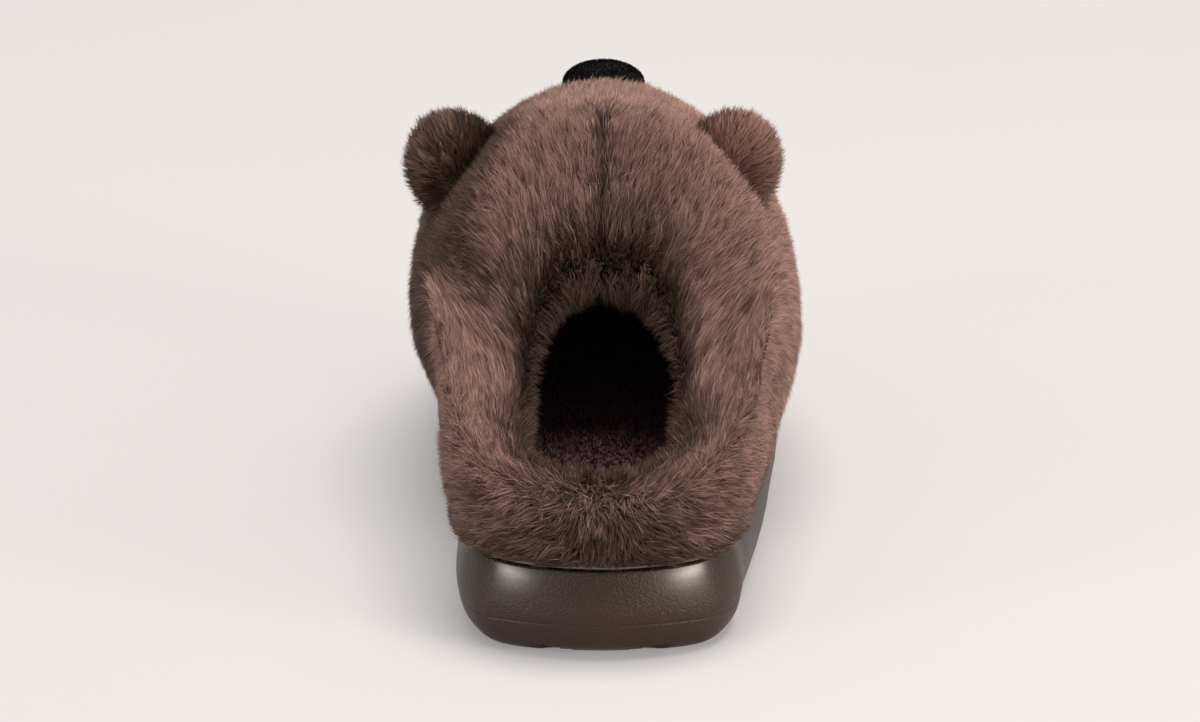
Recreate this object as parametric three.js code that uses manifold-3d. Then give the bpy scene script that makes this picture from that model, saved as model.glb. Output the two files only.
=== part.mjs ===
// Bear-head slipper, right shoe, in millimetres: +Z up, +Y from heel to toe, +X towards the outer side of the foot.
// A moulded foam sole carries a wrap band, a footbed and one hollow plush upper in the shape of a bear's head,
// whose back is the foot opening. Two stuffed ears and a flocked nose are sewn to the head.
// The plush solids have the form of the fur's surface, with the main locks of the pile fused on.

import * as THREE from "three";
import { mergeVertices } from "three/addons/utils/BufferGeometryUtils.js";
import Module from "manifold-3d";

const wasm = await Module();
wasm.setup();

// Driving dimensions of the sole
const soleLength = 272;
const heelWidth = 89;
const waistWidth = 98;
const ballWidth = 112;
const heelSoleHeight = 28.5; // floor to the ledge, under the heel
const ballSoleHeight = 26; // the same under the ball of the foot
const toeSpring = 9; // lift of the sole's underside at the toe
const heelSpring = 2.5; // and at the back of the heel
const archLift = 2; // and under the waist
const wellDepth = 5; // the footbed's well below the ledge
const wellDraft = 1; // how much narrower it is at its floor

// Driving dimensions of the upper, over the pile
const headWidth = 127; // across the jowls
const headHeight = 132; // floor to the ridge of the crown
const collarHeight = 54; // floor to the top of the roll behind the heel
const throatHeight = 83; // floor to the front of the foot opening
const openingWidth = 46; // between the rolls at the sides
const hemWall = 5; // thickness of the upper's edge on the ledge
const jowlPinch = 10; // how far the collar is narrower than the jowls
const jowlPlace = 0.3 * soleLength; // where it is narrowest
const jowlSpan = 35;
const muzzleLift = 8; // swelling of the muzzle under the nose
const muzzleWidth = 62;
const muzzleLength = 60;
const muzzlePlace = 0.824 * soleLength;
const seamDepth = 2.5; // parting of the pile along the seam of the crown
const seamWidth = 9;

// Driving dimensions of the small pieces
const bandHeight = 3.2;
const bandThickness = 1.6;
const bandInset = 3.6; // from the outline of the sole
const footbedThickness = 8;
const earWidth = 33.5;
const earHeight = 41; // with the part that is sewn into the crown
const earDepth = 17; // front to back
const earPlace = { x: 0.366 * headWidth, y: 0.566 * soleLength };
const earRise = 0.5; // middle of the ear above the crown there
const earShift = -6; // the outer ear sits a little nearer the seam
const earSplay = 0.45; // lean to the side
const earTurn = 0.2; // turn of its front to the side
const noseWidth = 28.5;
const noseHeight = 16.5;
const noseDepth = 24;
const nosePlace = 0.838 * soleLength;
const noseRise = -1.8; // middle of the nose above the muzzle there
const noseTilt = -0.5;
const clearance = 0.3; // between pieces that touch

// Driving dimensions of the tread
const treadDepth = 2.2;
const treadGroove = 4;
const treadPitch = 17;
const treadWave = 6;

// Driving dimensions of the locks of the pile
const lockLength = 17;
const lockWidth = 9;
const lockRoot = 2; // how deep a lock's foot is buried
const lockRise = 2.2; // how far its back stands up
const lockLift = 1.6; // and its tip
const lockStep = 24; // from one lock to the next up the wall

// How finely curved surfaces are faceted
const halfSteps = 25; // stations along one side, heel to toe
const foldSteps = 3; // facets between two neighbouring folds of the upper's outside
const insideSteps = 2; // and of its inside

// Numbers and curves

const mix = (a, b, share) => a + (b - a) * share;
const smooth = (value) => {
  const t = Math.min(1, Math.max(0, value));
  return t * t * (3 - 2 * t);
};
const bell = (value) => Math.exp(-value * value);

// A smooth curve through the rows' values at the rows' places
function through(places, values, place) {
  const last = places.length - 1;
  let i = 0;
  while (i < last - 1 && place > places[i + 1]) i += 1;
  const slope = (k) => {
    const a = Math.max(0, k - 1);
    const b = Math.min(last, k + 1);
    return (values[b] - values[a]) / (places[b] - places[a]);
  };
  const span = places[i + 1] - places[i];
  const t = (place - places[i]) / span;
  return (
    (1 + 2 * t) * (t - 1) ** 2 * values[i] +
    t * (t - 1) ** 2 * span * slope(i) +
    t * t * (3 - 2 * t) * values[i + 1] +
    t * t * (t - 1) * span * slope(i + 1)
  );
}

// Outline of the sole: half widths to the outer and the inner side, as shares of the size that each row follows
const outlineRows = [
  { at: 0.0, size: heelWidth, outer: 0.0, inner: 0.0 },
  { at: 0.035, size: heelWidth, outer: 0.364, inner: 0.364 },
  { at: 0.09, size: heelWidth, outer: 0.472, inner: 0.472 },
  { at: 0.16, size: heelWidth, outer: 0.5, inner: 0.5 },
  { at: 0.4, size: waistWidth, outer: 0.545, inner: 0.455 },
  { at: 0.66, size: ballWidth, outer: 0.51, inner: 0.49 },
  { at: 0.85, size: ballWidth, outer: 0.41, inner: 0.47 },
  { at: 0.965, size: ballWidth, outer: 0.2, inner: 0.31 },
  { at: 1.0, size: ballWidth, outer: -0.05, inner: 0.05 },
];
const outlineTurns = outlineRows.map((row) => Math.acos(1 - 2 * row.at));
const outlineHalves = {
  outer: outlineRows.map((row) => row.outer * row.size),
  inner: outlineRows.map((row) => row.inner * row.size),
};

// Stations run once round the shoe: from the heel along the outer side to the toe, and back along the inner side
const stations = [];
for (let k = 0; k < 2 * halfSteps; k += 1) {
  const outerSide = k <= halfSteps;
  const turn = (Math.PI * (outerSide ? k : 2 * halfSteps - k)) / halfSteps;
  stations.push({ turn, side: outerSide ? "outer" : "inner", sign: outerSide ? 1 : -1 });
}
const around = (k) => (k + stations.length) % stations.length;

const outline = stations.map((s) => {
  const half = through(outlineTurns, outlineHalves[s.side], s.turn);
  return new THREE.Vector2(s.sign * half, (soleLength * (1 - Math.cos(s.turn))) / 2);
});
const outward = outline.map((_, k) => {
  const [before, after] = [outline[around(k - 1)], outline[around(k + 1)]];
  return new THREE.Vector2(after.y - before.y, before.x - after.x).normalize();
});

// Middle line of the sole, which bends to the inner side at the toe
function middleLine(y) {
  const turn = Math.acos(1 - 2 * Math.min(1, Math.max(0, y / soleLength)));
  return (through(outlineTurns, outlineHalves.outer, turn) - through(outlineTurns, outlineHalves.inner, turn)) / 2;
}

// Heights of the sole's underside and of its ledge above the floor, along the shoe
function groundHeight(y) {
  const share = y / soleLength;
  const toe = toeSpring * smooth((share - 0.76) / 0.3) * 1.2;
  const heel = heelSpring * smooth((0.06 - share) / 0.06);
  const arch = archLift * smooth((share - 0.36) / 0.06) * smooth((0.54 - share) / 0.06);
  return toe + heel + arch;
}

function ledgeHeight(y) {
  const share = y / soleLength;
  const toe = toeSpring * 0.5 * smooth((share - 0.76) / 0.3);
  return mix(heelSoleHeight, ballSoleHeight, smooth((share - 0.1) / 0.5)) + toe;
}

// Solids from points and triangles

function solidOf(geometry) {
  const bare = new THREE.BufferGeometry();
  bare.setAttribute("position", geometry.getAttribute("position"));
  if (geometry.index) bare.setIndex(geometry.index);
  const merged = mergeVertices(bare, 1e-3);
  const vertProperties = merged.attributes.position.array;
  return new wasm.Manifold(
    new wasm.Mesh({ numProp: 3, vertProperties, triVerts: new Uint32Array(merged.index.array) }),
  );
}

function solidFrom(points, triangles) {
  const geometry = new THREE.BufferGeometry().setFromPoints(points);
  geometry.setIndex(triangles.flat());
  return solidOf(geometry);
}

function meshOf(name, solid, color, roughness) {
  const body = solid.getMesh();
  const geometry = new THREE.BufferGeometry();
  geometry.setAttribute("position", new THREE.BufferAttribute(body.vertProperties, 3));
  geometry.setIndex(new THREE.BufferAttribute(body.triVerts, 1));
  const faceted = geometry.toNonIndexed();
  faceted.computeVertexNormals();
  const mesh = new THREE.Mesh(faceted, new THREE.MeshStandardMaterial({ color, roughness }));
  mesh.name = name;
  return mesh;
}

// Two triangles for each cell between two rings of stations
function joinRings(triangles, from, to) {
  stations.forEach((_, k) => {
    const next = around(k + 1);
    triangles.push([from + k, from + next, to + next], [from + k, to + next, to + k]);
  });
}

// Closes a ring of stations by a ladder whose rungs run straight across the shoe
function closeRing(triangles, from, upwards) {
  for (let k = 0; k < halfSteps; k += 1) {
    const [a, b, c, d] = [from + k, from + k + 1, from + 2 * halfSteps - k - 1, from + around(2 * halfSteps - k)];
    const cell = [];
    if (k < halfSteps - 1) cell.push([a, b, c]);
    if (k > 0) cell.push([a, c, d]);
    cell.forEach((t) => triangles.push(upwards ? t : [t[0], t[2], t[1]]));
  }
}

// A solid through rings, lowest first, closed at both ends
function stackOfRings(rings) {
  const count = stations.length;
  const triangles = [];
  closeRing(triangles, 0, false);
  for (let i = 0; i + 1 < rings.length; i += 1) joinRings(triangles, i * count, (i + 1) * count);
  closeRing(triangles, (rings.length - 1) * count, true);
  return solidFrom(rings.flat(), triangles);
}

// A hoop round the shoe, through rings that lead up its outside and down its inside
function hoopOfRings(rings) {
  const count = stations.length;
  const triangles = [];
  rings.forEach((_, i) => joinRings(triangles, i * count, ((i + 1) % rings.length) * count));
  return solidFrom(rings.flat(), triangles);
}

function outlineRing(inset, heightAt) {
  return stations.map((_, k) => {
    const p = outline[k].clone().addScaledVector(outward[k], -inset);
    return new THREE.Vector3(p.x, p.y, heightAt(p.y));
  });
}

// Sole

// The sole's side, from the floor up: how far in from the outline, and the share of the side's height
const sideRows = [
  { inset: 7.0, up: 0.0 },
  { inset: 3.4, up: 0.08 },
  { inset: 1.5, up: 0.22 },
  { inset: 0.9, up: 0.34 },
  { inset: 1.8, up: 0.365 }, // parting groove of the mould
  { inset: 0.6, up: 0.39 },
  { inset: 0.0, up: 0.62 },
  { inset: 0.6, up: 0.84 },
  { inset: 2.8, up: 1.0 },
];
const hemInset = bandInset + bandThickness + clearance;
const wellInset = hemInset + hemWall + clearance;
const treadPads = [
  { from: 0.035, to: 0.32 },
  { from: 0.56, to: 0.9 },
];
const treadTeeth = 6;

function treadGrooves() {
  const grooves = [];
  for (const pad of treadPads) {
    for (let y = pad.from * soleLength; y < pad.to * soleLength; y += treadPitch) {
      const line = [];
      for (let k = 0; k <= treadTeeth; k += 1) {
        const x = (k / treadTeeth - 0.5) * ballWidth * 1.2;
        line.push(new THREE.Vector2(x, y + (k % 2 ? treadWave : -treadWave) / 2));
      }
      const near = line.map((p) => new THREE.Vector2(p.x, p.y - treadGroove / 2));
      const far = line.map((p) => new THREE.Vector2(p.x, p.y + treadGroove / 2)).reverse();
      const bar = new THREE.ExtrudeGeometry(new THREE.Shape([...near, ...far]), {
        depth: 2 * treadDepth,
        bevelEnabled: false,
      });
      bar.translate(0, 0, groundHeight(y) - treadDepth);
      grooves.push(solidOf(bar));
    }
  }
  return grooves;
}

function makeSole() {
  const rings = sideRows.map((row) =>
    outlineRing(row.inset, (y) => mix(groundHeight(y), ledgeHeight(y), row.up)),
  );
  rings.push(outlineRing(wellInset, ledgeHeight));
  rings.push(outlineRing(wellInset + wellDraft, (y) => ledgeHeight(y) - wellDepth));
  return treadGrooves().reduce((sole, groove) => sole.subtract(groove), stackOfRings(rings));
}

// Wrap band, standing on the ledge round the foot of the upper
function makeBand(extra) {
  const base = (y) => ledgeHeight(y) + clearance - extra;
  const top = (y) => ledgeHeight(y) + clearance + bandHeight + extra;
  return hoopOfRings([
    outlineRing(bandInset - extra, base),
    outlineRing(bandInset + 0.3 - extra, top),
    outlineRing(bandInset + bandThickness + extra, top),
    outlineRing(bandInset + bandThickness + extra, base),
  ]);
}

// Footbed, lying in the well with a shallow cup at the heel
function makeFootbed() {
  const inset = wellInset + clearance;
  const base = (y) => ledgeHeight(y) - wellDepth + clearance;
  const top = (y) => base(y) + footbedThickness;
  return stackOfRings([
    outlineRing(inset + wellDraft, base),
    outlineRing(inset + clearance, (y) => top(y) - 2),
    outlineRing(inset + 2, top),
    outlineRing(inset + 12, (y) => top(y) - 1.4 * smooth((0.4 - y / soleLength) / 0.3)),
  ]);
}

// Upper

// The folds that circle the foot opening, from the jowl over the crown down to the lip and back inside. Places are
// shares of the sole's length, widths of half of the named width, heights of the named heights.
const folds = [
  {
    name: "jowl", back: 0.004, wide: 0.585, front: 0.972, half: 1.0,
    heel: 2.8, toe: 2.3, low: 0.77, side: 0.43, high: 0.47
  },
  {
    name: "snout", back: 0.011, wide: 0.56, front: 0.91, half: 0.985,
    heel: 2.75, toe: 2.3, low: 0.88, side: 0.53, high: 0.73
  },
  {
    name: "brow", back: 0.024, wide: 0.515, front: 0.77, half: 0.945,
    heel: 2.7, toe: 2.2, low: 0.95, side: 0.59, high: 0.86
  },
  {
    name: "crown", back: 0.041, wide: 0.45, front: 0.625, half: 0.895,
    heel: 2.7, toe: 2.3, low: 0.99, side: 0.58, high: 0.955
  },
  {
    name: "ridge", back: 0.062, wide: 0.4, front: 0.515, half: 0.82,
    heel: 2.8, toe: 2.6, low: 1.0, side: 0.535, high: 0.995
  },
  {
    name: "nape", back: 0.083, wide: 0.33, front: 0.458, half: 0.61,
    heel: 2.8, toe: 2.6, low: 0.98, side: 0.49, high: 0.82
  },
];
const lip = {
  name: "lip", back: 0.106, wide: 0.21, front: 0.39, half: 1.0,
  heel: 3.0, toe: 2.6, low: 0.91, side: 0.65, high: 1.0
};
const insideFolds = [
  {
    name: "throat", back: 0.1, wide: 0.28, front: 0.415, half: 0.45,
    heel: 2.8, toe: 2.4, low: 0.8, side: 0.37, high: 0.58
  },
  {
    name: "vault", back: 0.075, wide: 0.42, front: 0.56, half: 0.66,
    heel: 2.6, toe: 2.4, low: 0.72, side: 0.46, high: 0.73
  },
  {
    name: "palate", back: 0.058, wide: 0.52, front: 0.76, half: 0.77,
    heel: 2.6, toe: 2.4, low: 0.68, side: 0.41, high: 0.66
  },
];
const hemRise = 7.5; // the lowest swelling of the fur above the ledge
const hemSwell = 1.5; // and how far it overhangs the sole
// The lowest swelling of the cavity above the ledge, and how far in it lies from the edge of the wall
const cavityFold = { heelRise: 4, toeRise: 24, heelInset: 0.5, toeInset: 8 };

// One point of a fold, a superellipse in plan that rises from the heel over the side to the toe
function foldPoint(fold, station, size, pinch) {
  const forward = -Math.cos(station.turn);
  const power = forward > 0 ? fold.toe : fold.heel;
  const across = Math.max(0, Math.sin(station.turn)) ** (2 / power);
  const reach = Math.abs(forward) ** (2 / power);
  const share = forward > 0 ? mix(fold.wide, fold.front, reach) : mix(fold.wide, fold.back, reach);
  const y = share * soleLength;
  const side = fold.side * size.high;
  const z = forward > 0 ? mix(side, fold.high * size.high, forward) : mix(side, fold.low * size.low, forward ** 2);
  const half = fold.half * size.half * across - pinch * jowlPinch * bell((y - jowlPlace) / jowlSpan);
  const lean = middleLine(y) * (1 - smooth((0.85 * z) / throatHeight));
  return new THREE.Vector3(station.sign * (across > 0 ? Math.max(0, half) : 0) + lean, y, z);
}

// The section of the upper's wall at one station: up the outside, over the lip and down the inside
function wallSection(k) {
  const station = stations[k];
  const edge = (inset, rise) => {
    const p = outline[k].clone().addScaledVector(outward[k], -inset);
    return new THREE.Vector3(p.x, p.y, ledgeHeight(p.y) + clearance + rise);
  };
  const head = { half: headWidth / 2, high: headHeight, low: collarHeight };
  const opening = { half: openingWidth / 2, high: throatHeight, low: collarHeight };
  const toeward = smooth(outline[k].y / soleLength);
  return [
    edge(hemInset, 0),
    edge(hemInset - 0.2, bandHeight),
    edge(-hemSwell, hemRise),
    ...folds.map((fold) => foldPoint(fold, station, head, 1)),
    foldPoint(lip, station, opening, 0),
    ...insideFolds.map((fold) => foldPoint(fold, station, head, 0)),
    edge(
      hemInset + hemWall + mix(cavityFold.heelInset, cavityFold.toeInset, toeward),
      mix(cavityFold.heelRise, cavityFold.toeRise, toeward),
    ),
    edge(hemInset + hemWall, 0),
  ];
}

// Swelling of the muzzle and parting of the pile over the seam of the crown
function shapeHead(p) {
  const muzzle = muzzleLift * bell((2 * p.x) / muzzleWidth) * bell((2 * (p.y - muzzlePlace)) / muzzleLength);
  const onCrown = smooth((p.z - throatHeight) / 12) * smooth((0.62 * soleLength - p.y) / 20);
  const seam = seamDepth * bell((2 * p.x) / seamWidth) * onCrown;
  return p.clone().add(new THREE.Vector3(0, 0.35 * muzzle + 0.85 * seam, 0.94 * muzzle - 0.5 * seam));
}

const outsideSpans = 3 + folds.length; // from the foot of the wall by the band, the hem and the folds to the lip
const lipRing = outsideSpans * foldSteps;

function wallRings() {
  const sections = stations.map((_, k) => {
    const knots = wallSection(k);
    const curve = new THREE.CatmullRomCurve3(knots, false, "centripetal");
    const spans = knots.length - 1;
    const points = [];
    for (let i = 0; i < lipRing; i += 1) points.push(shapeHead(curve.getPoint(i / foldSteps / spans)));
    const insideRings = (spans - outsideSpans) * insideSteps;
    for (let i = 0; i <= insideRings; i += 1) points.push(curve.getPoint((outsideSpans + i / insideSteps) / spans));
    return points;
  });
  return sections[0].map((_, i) => sections.map((points) => points[i]));
}
const rings = wallRings();

// The way out of the wall at ring i and station k
function wallNormal(i, k) {
  const [up, down] = [rings[Math.min(i + 1, rings.length - 1)][k], rings[Math.max(i - 1, 0)][k]];
  const along = rings[i][around(k + 1)].clone().sub(rings[i][around(k - 1)]);
  return along.cross(up.clone().sub(down)).normalize();
}

function makeWall(extra) {
  if (!extra) return hoopOfRings(rings);
  return hoopOfRings(rings.map((ring, i) => ring.map((p, k) => p.clone().addScaledVector(wallNormal(i, k), extra))));
}

// Locks of the pile: each is a tuft whose foot is buried in the wall and whose tip follows the lie of the fur

const scatter = (seed) => {
  const value = Math.sin(seed * 12.9898) * 43758.5453;
  return value - Math.floor(value);
};

function lockSolid(foot, tip, out, size) {
  const lie = tip.clone().sub(foot);
  const side = lie.clone().cross(out).normalize();
  const at = (along, across, up) =>
    foot.clone().addScaledVector(lie, along).addScaledVector(side, across).addScaledVector(out, up);
  const half = (lockWidth * size) / 2;
  const points = [at(0, -half, -lockRoot), at(0, half, -lockRoot), at(0.3, 0, lockRise), at(1, 0, 0)];
  const triangles = [
    [0, 1, 2],
    [0, 3, 1],
    [1, 3, 2],
    [2, 3, 0],
  ];
  return solidFrom(points, triangles);
}

const ridgeRing = (3 + folds.findIndex((fold) => fold.name === "ridge")) * foldSteps;
const hemRing = 2 * foldSteps;
const lastLockRing = lipRing + insideSteps;

// The point of the fur's surface that lies a length on from ring i of station k, and a share of a station aside
function followFur(i, k, length, aside) {
  const way = i > ridgeRing ? 1 : -1;
  let j = i;
  let left = length;
  while (left > 0 && j > hemRing && j < lastLockRing) {
    left -= rings[j + way][k].distanceTo(rings[j][k]);
    j += way;
  }
  const beside = around(k + Math.sign(aside));
  return rings[j][k].clone().lerp(rings[j][beside], Math.abs(aside)).addScaledVector(wallNormal(j, k), lockLift);
}

// Locks of one station, a step apart up the outside and over into the opening
function locksAt(k) {
  const locks = [];
  let walked = k % 4 ? lockStep / 2 : lockStep;
  for (let i = hemRing + 1; i < lastLockRing; i += 1) {
    walked += rings[i][k].distanceTo(rings[i - 1][k]);
    if (walked < lockStep) continue;
    walked = 0;
    const seed = i * stations.length + k;
    const size = 0.8 + 0.4 * scatter(seed);
    const aside = stations[k].sign * Math.cos(stations[k].turn) * 0.4 + 0.5 * (scatter(seed + 0.5) - 0.5);
    const tip = followFur(i, k, lockLength * size, aside);
    if (tip.distanceTo(rings[i][k]) < lockLength / 2) continue;
    locks.push(lockSolid(rings[i][k], tip, wallNormal(i, k), size));
  }
  return locks;
}

// Ears and nose

// Height of the upper's outside over a place in plan
function wallTop(x, y) {
  const line = new THREE.Ray(new THREE.Vector3(x, y, 2 * headHeight), new THREE.Vector3(0, 0, -1));
  const hit = new THREE.Vector3();
  let top = 0;
  for (let i = 0; i < lipRing; i += 1) {
    stations.forEach((_, k) => {
      const next = around(k + 1);
      const [a, b, c, d] = [rings[i][k], rings[i][next], rings[i + 1][next], rings[i + 1][k]];
      if (line.intersectTriangle(a, b, c, false, hit)) top = Math.max(top, hit.z);
      if (line.intersectTriangle(a, c, d, false, hit)) top = Math.max(top, hit.z);
    });
  }
  return top;
}

function ovalOf(width, depth, height, across, up) {
  const oval = new THREE.SphereGeometry(0.5, across, up);
  oval.rotateX(Math.PI / 2);
  oval.scale(width, depth, height);
  return oval;
}

// A stuffed ear whose front is hollowed, splayed to its side of the crown
function makeEar(sign, extra) {
  const ear = ovalOf(earWidth + 2 * extra, earDepth + 2 * extra, earHeight + 2 * extra, 20, 14);
  const place = ear.getAttribute("position");
  for (let i = 0; i < place.count; i += 1) {
    const p = new THREE.Vector3().fromBufferAttribute(place, i);
    const middle = 1 - Math.hypot((2 * p.x) / earWidth, (2 * p.z) / earHeight);
    if (p.y > 0) place.setY(i, p.y * (1 - 0.75 * smooth(1.4 * middle)));
  }
  ear.rotateY(sign * earSplay);
  ear.rotateZ(sign * -earTurn);
  const height = wallTop(sign * earPlace.x, earPlace.y) + earRise;
  ear.translate(sign * earPlace.x + (sign > 0 ? earShift : 0), earPlace.y, height);
  return solidOf(ear);
}

function makeNose(extra) {
  const nose = ovalOf(noseWidth + 2 * extra, noseDepth + 2 * extra, noseHeight + 2 * extra, 20, 12);
  nose.rotateX(noseTilt);
  nose.translate(0, nosePlace, wallTop(0, nosePlace) + noseRise);
  return solidOf(nose);
}

// The largest piece that a cut leaves
const largest = (solid) => solid.decompose().reduce((best, piece) => (piece.volume() > best.volume() ? piece : best));

const bare = makeWall(0);
const swollen = makeWall(clearance);
const besideLocks = [
  makeBand(clearance),
  makeEar(-1, 2 * clearance),
  makeEar(1, 2 * clearance),
  makeNose(2 * clearance),
];
const locks = stations.flatMap((_, k) => (k % 2 ? [] : locksAt(k)));
const pile = besideLocks.reduce(
  (all, piece) => all.subtract(piece),
  locks.reduce((all, lock) => all.add(lock)),
);
const upper = largest(bare.subtract(besideLocks[0]).add(pile));

const group = new THREE.Group();
group.name = "bear_slipper";
group.add(meshOf("sole", makeSole(), 0x2c211e, 0.6));
group.add(meshOf("wrap_band", makeBand(0), 0x1c1412, 0.4));
group.add(meshOf("footbed", makeFootbed(), 0x3a2a2c, 0.95));
group.add(meshOf("upper", upper, 0x4a3226, 0.95));
group.add(meshOf("ear_medial", largest(makeEar(-1, 0).subtract(swollen)), 0x4a3226, 0.95));
group.add(meshOf("ear_lateral", largest(makeEar(1, 0).subtract(swollen)), 0x4a3226, 0.95));
group.add(meshOf("nose", largest(makeNose(0).subtract(swollen)), 0x0c0c12, 0.9));

// The frame's origin is under the middle of the shoe, on the floor
const bounds = new THREE.Box3().setFromObject(group);
const middle = bounds.getCenter(new THREE.Vector3());
group.children.forEach((mesh) => mesh.geometry.translate(-middle.x, -middle.y, -bounds.min.z));

export default group;
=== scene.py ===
import math

import bpy
import numpy as np
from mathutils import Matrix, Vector
from mathutils.kdtree import KDTree


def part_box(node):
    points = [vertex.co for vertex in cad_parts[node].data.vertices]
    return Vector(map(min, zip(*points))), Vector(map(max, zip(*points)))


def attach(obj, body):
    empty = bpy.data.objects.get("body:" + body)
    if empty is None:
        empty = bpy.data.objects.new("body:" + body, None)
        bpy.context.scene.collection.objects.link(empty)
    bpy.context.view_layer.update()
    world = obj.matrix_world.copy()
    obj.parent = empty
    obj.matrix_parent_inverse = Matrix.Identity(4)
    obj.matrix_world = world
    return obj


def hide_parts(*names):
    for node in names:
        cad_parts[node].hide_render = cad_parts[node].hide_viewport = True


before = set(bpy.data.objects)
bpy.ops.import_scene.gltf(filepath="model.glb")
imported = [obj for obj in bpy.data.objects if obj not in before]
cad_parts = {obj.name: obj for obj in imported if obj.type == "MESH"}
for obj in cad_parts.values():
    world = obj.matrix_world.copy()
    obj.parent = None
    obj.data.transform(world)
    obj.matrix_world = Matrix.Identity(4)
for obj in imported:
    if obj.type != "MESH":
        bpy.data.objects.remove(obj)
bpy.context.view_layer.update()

print("frame loaded")

# Millimetres here: x to the outer side of the right foot, y from heel to toe, z up from the floor
shoe = {
    "soleLength": 272.0,
    "heelWidth": 89.0,
    "waistWidth": 98.0,
    "ballWidth": 112.0,
    "heelSoleHeight": 28.5,
    "ballSoleHeight": 26.0,
    "toeSpring": 9.0,
    "heelSpring": 2.5,
    "archLift": 2.0,
    "headWidth": 127.0,
    "headHeight": 132.0,
    "collarHeight": 54.0,
    "throatHeight": 83.0,
    "openingWidth": 46.0,
    "clearance": 0.3,
    "toeLiftsFrom": 0.76,  # this and the next two are shares of the sole's length
    "archFrom": 0.36,
    "archTo": 0.54,
}
soleLength = shoe["soleLength"]


# numbers and curves
def soften(value):
    t = np.clip(value, 0.0, 1.0)
    return t * t * (3.0 - 2.0 * t)


def bell(value):
    return np.exp(-np.square(value))


def blendOf(a, b, share):
    return a + (b - a) * share


def bendBetween(start, end, startSlope, endSlope, t):
    # cubic curve from start to end that leaves and arrives with the given slopes
    return (
        (1 + 2 * t) * (t - 1) ** 2 * start + t * (t - 1) ** 2 * startSlope
        + t * t * (3 - 2 * t) * end + t * t * (t - 1) * endSlope
    )


def curveThrough(places, values, at):
    # smooth curve through the rows' values
    places, values = np.asarray(places, float), np.asarray(values, float)
    last = len(places) - 1
    i = np.clip(np.searchsorted(places, at) - 1, 0, last - 1)
    lo, hi = np.maximum(np.arange(last + 1) - 1, 0), np.minimum(np.arange(last + 1) + 1, last)
    slope = (values[hi] - values[lo]) / (places[hi] - places[lo])
    span = places[i + 1] - places[i]
    t = (at - places[i]) / span
    return bendBetween(values[i], values[i + 1], span * slope[i], span * slope[i + 1], t)


def unit(vectors):
    return vectors / np.maximum(np.linalg.norm(vectors, axis=-1, keepdims=True), 1e-9)


def ripples(points, size, seed):
    # gentle waves of about that size, between -1 and 1
    draw = np.random.RandomState(seed)
    total = np.zeros(points.shape[:-1])
    for _ in range(5):
        heading = unit(draw.normal(size=3))
        stretch = size * draw.uniform(0.7, 1.5)
        total += np.sin(points @ heading * 2 * math.pi / stretch + draw.uniform(0, 2 * math.pi))
    return total / 3.2


# outline of the sole, from heel to toe: share of the length, the width that a row follows,
# and half widths to the outer and the inner side
outlineRows = [
    (0.0, "heelWidth", 0.0, 0.0),
    (0.035, "heelWidth", 0.364, 0.364),
    (0.09, "heelWidth", 0.472, 0.472),
    (0.16, "heelWidth", 0.5, 0.5),
    (0.4, "waistWidth", 0.545, 0.455),
    (0.66, "ballWidth", 0.51, 0.49),
    (0.85, "ballWidth", 0.41, 0.47),
    (0.965, "ballWidth", 0.2, 0.31),
    (1.0, "ballWidth", -0.05, 0.05),
]
outlineTurns = [math.acos(1 - 2 * row[0]) for row in outlineRows]
outerHalves = [row[2] * shoe[row[1]] for row in outlineRows]
innerHalves = [row[3] * shoe[row[1]] for row in outlineRows]


def stationsOf(count):
    # turn and side of the places once round the shoe: heel, outer side, toe, inner side
    k = np.arange(count)
    outer = k <= count // 2
    turn = math.pi * np.where(outer, k, count - k) / (count // 2)
    return turn, np.where(outer, 1.0, -1.0)


def halvesAt(turn):
    return curveThrough(outlineTurns, outerHalves, turn), curveThrough(outlineTurns, innerHalves, turn)


def outlineOf(count):
    turn, side = stationsOf(count)
    half = np.where(side > 0, *halvesAt(turn))
    line = np.stack([side * half, soleLength * (1 - np.cos(turn)) / 2], 1)
    along = np.roll(line, -1, 0) - np.roll(line, 1, 0)
    return line, unit(np.stack([along[:, 1], -along[:, 0]], 1))


def middleLine(y):
    outer, inner = halvesAt(np.arccos(1 - 2 * np.clip(y / soleLength, 0, 1)))
    return (outer - inner) / 2


def groundHeight(y):
    share = y / soleLength
    toe = shoe["toeSpring"] * soften((share - shoe["toeLiftsFrom"]) / 0.3) * 1.2
    heel = shoe["heelSpring"] * soften((0.06 - share) / 0.06)
    arch = soften((share - shoe["archFrom"]) / 0.06) * soften((shoe["archTo"] - share) / 0.06)
    return toe + heel + shoe["archLift"] * arch


def ledgeHeight(y):
    share = y / soleLength
    toe = shoe["toeSpring"] * 0.5 * soften((share - shoe["toeLiftsFrom"]) / 0.3)
    return blendOf(shoe["heelSoleHeight"], shoe["ballSoleHeight"], soften((share - 0.1) / 0.5)) + toe


def alongShoe(points):
    return points[..., 1] / soleLength


def ringOf(count, inset, heightAt):
    line, away = outlineOf(count)
    flat = line - away * inset
    return np.column_stack([flat, heightAt(flat[:, 1])])


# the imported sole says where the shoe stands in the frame
soleLow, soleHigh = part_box("sole")
fineLine, _ = outlineOf(400)
frameShift = np.array([
    (soleLow.x + soleHigh.x) * 500 - (fineLine[:, 0].min() + fineLine[:, 0].max()) / 2,
    soleLow.y * 1000,
    0.0,
])


def toFrame(points):
    return (points + frameShift) / 1000.0


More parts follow.
